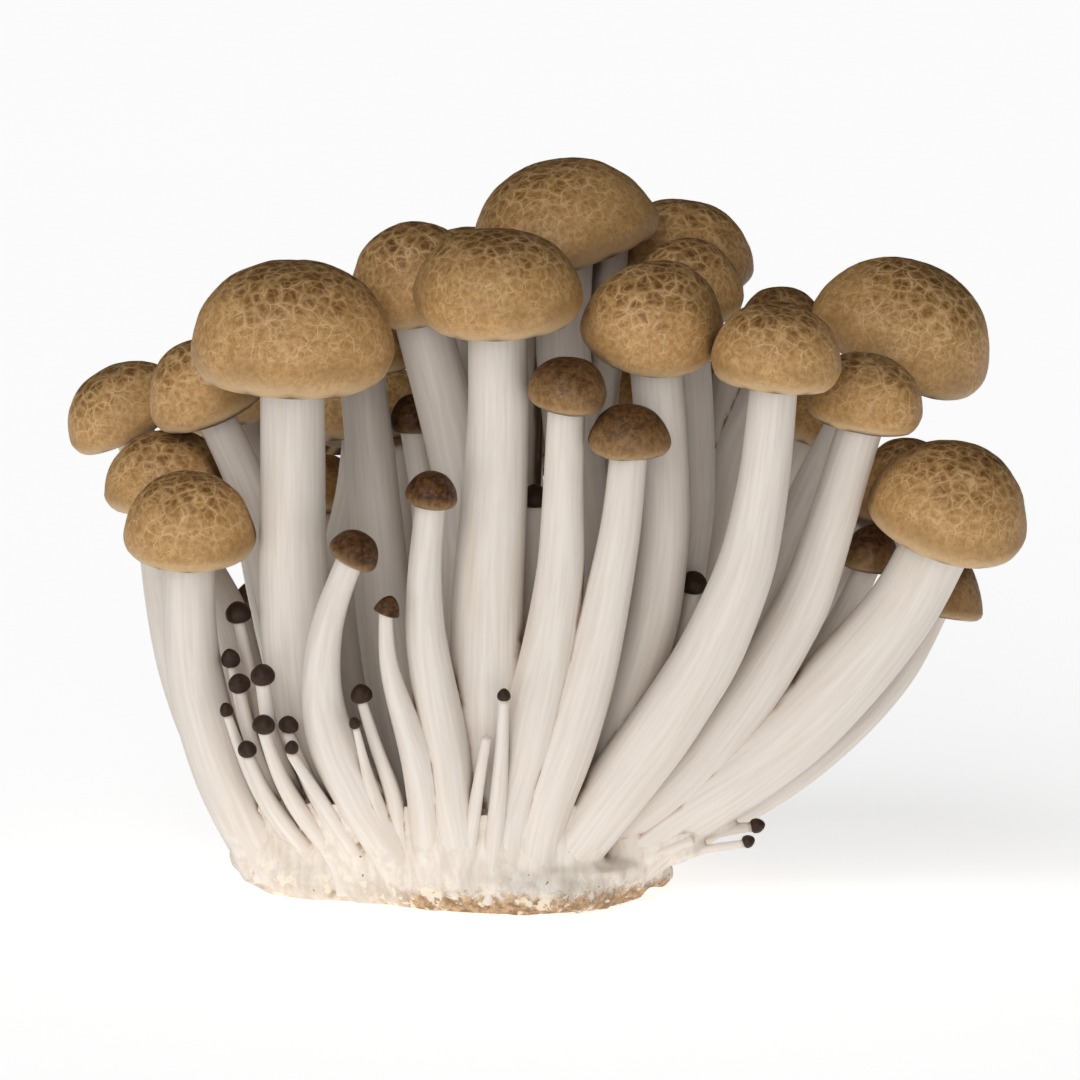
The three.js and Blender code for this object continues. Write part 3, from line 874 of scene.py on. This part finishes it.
def flesh_material(name):
    """Off-white flesh with fine streaks along each stem, with painted shade making it warmer and darker
    in the gaps and creases.
    """
    nodes = Nodes(name)
    place = nodes.attribute("fibre_place", "Vector")
    streak = nodes.noise(nodes.scaled(place, (1.0, 1.0, 0.045)), 1.6, 4, 0.6)
    broad = nodes.noise(nodes.scaled(place, (1.0, 1.0, 0.12)), 0.35, 2)
    fibre = nodes.noise(nodes.scaled(place, (1.0, 1.0, 0.03)), 5.0, 2)
    colour = nodes.mix(nodes.ramp(streak, 0.25, 0.7), srgb(218, 207, 196), srgb(229, 221, 212))
    colour = nodes.mix(nodes.ramp(broad, 0.5, 0.8, 0, 0.35), colour, srgb(213, 197, 180))
    # Painted shade: warmer where the stems are enclosed, dark brown deep in the gaps, and tan in the
    # creases beside other stems.
    far, near = nodes.attribute("far"), nodes.attribute("near")
    colour = nodes.mix(nodes.ramp(far, 0.5, 0.85, 0.0, 0.25), colour, srgb(180, 152, 124))
    colour = nodes.mix(nodes.ramp(far, 0.72, 0.95, 0.0, 0.9), colour, srgb(74, 50, 31))
    colour = nodes.mix(nodes.ramp(near, 0.25, 0.85, 0.0, 0.5), colour, srgb(156, 122, 90))
    nodes.put(nodes.shader.inputs["Base Color"], colour)
    nodes.shader.inputs["Roughness"].default_value = 0.5
    nodes.shader.inputs["Specular IOR Level"].default_value = 0.3
    relief = nodes.math("ADD", nodes.math("MULTIPLY", streak, 0.6), nodes.math("MULTIPLY", fibre, 0.4))
    nodes.bump(relief, 0.16, 0.0002)
    return nodes.material


# The middle of the one orange stain on the base, in millimetres.
STAIN = (-29.6, -4.5, 6.4)


def base_material(name):
    """Pale, stringy flesh with a brown, crumbly cut edge, a few specks and one orange stain, and
    painted shade in its creases.
    """
    nodes = Nodes(name)
    place = nodes.scaled(nodes.add("ShaderNodeTexCoord").outputs["Object"], (1 / MM, 1 / MM, 1 / MM))
    split = nodes.add("ShaderNodeSeparateXYZ")
    nodes.put(split.inputs[0], place)
    height = split.outputs["Z"]
    cloud = nodes.noise(place, 0.13, 3, 0.6)
    crumb = nodes.noise(place, 0.9, 4, 0.7)
    grain = nodes.noise(place, 1.1, 4, 0.65)
    strand = nodes.noise(nodes.scaled(place, (1.0, 1.0, 0.2)), 0.8, 3, 0.6)
    colour = nodes.mix(nodes.ramp(strand, 0.3, 0.7), srgb(214, 202, 189), srgb(230, 222, 212))
    brown = nodes.mix(nodes.ramp(grain, 0.35, 0.65), srgb(122, 86, 48), srgb(196, 160, 114))
    level = nodes.math("ADD", height, nodes.math("MULTIPLY", crumb, -5.0))
    band = nodes.ramp(level, -0.9, 1.2, 0.9, 0.0)
    right = nodes.ramp(split.outputs["X"], -9.0, -4.0, 0.25, 1.0)
    patch = nodes.math("MAXIMUM", right, nodes.ramp(cloud, 0.5, 0.62))
    colour = nodes.mix(nodes.math("MULTIPLY", band, patch), colour, brown)
    pale = nodes.ramp(nodes.noise(place, 0.5, 3, 0.6), 0.54, 0.62)
    low = nodes.ramp(height, 3.5, 6.5, 0.85, 0.0)
    colour = nodes.mix(nodes.math("MULTIPLY", pale, low), colour, srgb(236, 224, 204))
    speck = nodes.ramp(nodes.noise(place, 0.62, 2, 0.7), 0.30, 0.25)
    colour = nodes.mix(nodes.math("MULTIPLY", speck, 0.8), colour, srgb(96, 64, 36))
    stain = nodes.add("ShaderNodeVectorMath", operation="DISTANCE")
    nodes.put(stain.inputs[0], place)
    nodes.put(stain.inputs[1], STAIN)
    spread = nodes.math("ADD", stain.outputs["Value"], nodes.math("MULTIPLY", crumb, 3.0))
    colour = nodes.mix(nodes.ramp(spread, 2.2, 3.6, 0.85, 0.0), colour, srgb(212, 134, 52))
    # Painted shade: warmer where the base is enclosed and brown in the creases beside the stems.
    far, near = nodes.attribute("far"), nodes.attribute("near")
    colour = nodes.mix(nodes.ramp(far, 0.3, 0.75, 0.0, 0.5), colour, srgb(176, 150, 124))
    colour = nodes.mix(nodes.ramp(near, 0.12, 0.6, 0.0, 0.75), colour, srgb(150, 112, 76))
    nodes.put(nodes.shader.inputs["Base Color"], colour)
    nodes.shader.inputs["Roughness"].default_value = 0.7
    nodes.bump(nodes.math("MULTIPLY", crumb, nodes.ramp(height, 2.5, 6.0, 1.0, 0.25)), 0.6, 0.0006)
    return nodes.material


def floor_material(name):
    """A pale floor that is lit a little from below, like a studio table."""
    nodes = Nodes(name)
    grain = nodes.noise(nodes.add("ShaderNodeTexCoord").outputs["Object"], 8.0)
    colour = nodes.mix(grain, srgb(249, 249, 249), srgb(252, 252, 252))
    nodes.put(nodes.shader.inputs["Base Color"], colour)
    nodes.shader.inputs["Roughness"].default_value = 0.9
    nodes.shader.inputs["Emission Color"].default_value = (1, 1, 1, 1)
    nodes.shader.inputs["Emission Strength"].default_value = FLOOR_GLOW
    return nodes.material


# Building the piece list

# A cap's own CAD solid, made smaller by this about its origin, stands for it where rays are cast, so
# that a cap doesn't enclose itself.
RAY_CAP_SIZE = 0.96


def put(made, slot, *names):
    """Says which body carries a piece and which nodes it replaces; its material slot is not used."""
    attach(made, "root")
    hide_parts(*names)


def dress():
    """Makes every piece of the cluster, and stores how enclosed each point of it is, for the painted
    shade.
    """
    skin = cap_material("cap_skin", False)
    young = cap_material("young_cap_skin", True)
    caps = []
    corners, polygons = [], []
    for index, name in enumerate(sorted(frame["nodes"])):
        if name == BODY_NODE:
            continue
        made, cap, segments = build_cap(frame["nodes"][name], index)
        closed_head = name.startswith("button_")
        made.data.materials.append(young if closed_head else skin)
        put(made, "young_cap_skin" if closed_head else "cap_skin", name)
        caps.append((made, cap, segments))
        places, triangles = welded(frame["nodes"][name])
        polygons += (triangles + len(corners)).tolist()
        corners += (cap.origin + (places - cap.origin) * RAY_CAP_SIZE).tolist()
    points, triangles = welded(frame["nodes"][BODY_NODE])
    body = BVHTree.FromPolygons([Vector(p) for p in points], triangles.tolist())
    cap_centres = np.array([cap.origin + cap.axis * cap.under for _, cap, _ in caps])
    rings = stem_rings(body, stem_tips(points, triangles), cap_centres)
    stems, layout = build_stems(rings + inner_rings())
    stems.data.materials.append(flesh_material("stem_flesh"))
    put(stems, "stem_flesh", BODY_NODE)
    base = build_base(points, triangles, stems)
    base.data.materials.append(base_material("base_flesh"))
    put(base, "stem_flesh", BODY_NODE)
    for piece in (stems, base):
        places, _ = surface(piece)
        polygons += [[corner + len(corners) for corner in face.vertices]
                     for face in piece.data.polygons]
        corners += places.tolist()
    around = BVHTree.FromPolygons(corners, polygons)
    add_stem_enclosure(stems, around, layout)
    places, normals = surface(base)
    found = enclosure(around, places + normals * BASE_CLEAR, normals)
    for attribute, values in zip(("near", "far"), found):
        set_numbers(base, attribute, values)
    for made, _, segments in caps:
        add_cap_enclosure(made, around, segments)


def add_camera():
    """The photograph's view: level across, looking down a little, from a fair way off."""
    data = bpy.data.cameras.new("camera")
    data.sensor_width = SENSOR
    data.lens = SENSOR * CAMERA_DISTANCE / FRAME_WIDTH
    data.clip_end = 20
    camera = bpy.data.objects.new("camera", data)
    bpy.context.scene.collection.objects.link(camera)
    back = Vector((0, -math.cos(LOOK_DOWN), math.sin(LOOK_DOWN)))
    camera.location = AIM + back * CAMERA_DISTANCE
    camera.rotation_euler = (math.pi / 2 - LOOK_DOWN, 0, 0)
    bpy.context.scene.camera = camera


def add_sun(name, toward, strength, softness):
    """A soft light from one direction, as even over the floor as a large studio screen."""
    data = bpy.data.lights.new(name, "SUN")
    data.energy = strength
    data.angle = math.radians(softness)
    light = bpy.data.objects.new(name, data)
    light.rotation_euler = Vector(toward).to_track_quat("Z", "Y").to_euler()
    bpy.context.scene.collection.objects.link(light)


def add_world():
    """A surround that looks white; its light comes from above and the front, and hardly from behind."""
    world = bpy.data.worlds.new("studio")
    world.use_nodes = True
    tree = world.node_tree
    lit = tree.nodes["Background"]
    seen = tree.nodes.new("ShaderNodeBackground")
    seen.inputs[0].default_value = (1, 1, 1, 1)
    path = tree.nodes.new("ShaderNodeLightPath")
    split = tree.nodes.new("ShaderNodeSeparateXYZ")
    tree.links.new(tree.nodes.new("ShaderNodeTexCoord").outputs["Generated"], split.inputs[0])
    total = None
    for output, low, high, amount in (("Z", 0.0, 0.9, WORLD_TOP), ("Y", 0.2, -1.0, WORLD_FRONT)):
        part = tree.nodes.new("ShaderNodeMapRange")
        part.interpolation_type = "SMOOTHSTEP"
        tree.links.new(split.outputs[output], part.inputs["Value"])
        part.inputs["From Min"].default_value = low
        part.inputs["From Max"].default_value = high
        part.inputs["To Max"].default_value = amount
        join = tree.nodes.new("ShaderNodeMath")
        join.inputs[1].default_value = WORLD_EVEN
        if total is not None:
            tree.links.new(total, join.inputs[1])
        tree.links.new(part.outputs[0], join.inputs[0])
        total = join.outputs[0]
    tree.links.new(total, lit.inputs["Strength"])
    both = tree.nodes.new("ShaderNodeMixShader")
    tree.links.new(path.outputs["Is Camera Ray"], both.inputs[0])
    tree.links.new(lit.outputs[0], both.inputs[1])
    tree.links.new(seen.outputs[0], both.inputs[2])
    tree.links.new(both.outputs[0], tree.nodes["World Output"].inputs[0])
    bpy.context.scene.world = world


def add_stage():
    """The pale floor, the surround and the lights, none of which is part of the object."""
    half = FLOOR_HALF
    corners = [(-half, -half, 0), (half, -half, 0), (half, half, 0), (-half, half, 0)]
    floor = make_mesh("floor", corners, [[0, 1, 2, 3]])
    floor.location.z = -FLOOR_DROP
    floor.data.materials.append(floor_material("floor"))
    add_world()
    bpy.context.scene.view_settings.view_transform = "Standard"
    for name, toward, strength, softness in SUNS:
        add_sun(name, toward, strength, softness)


dress()
add_stage()
add_camera()
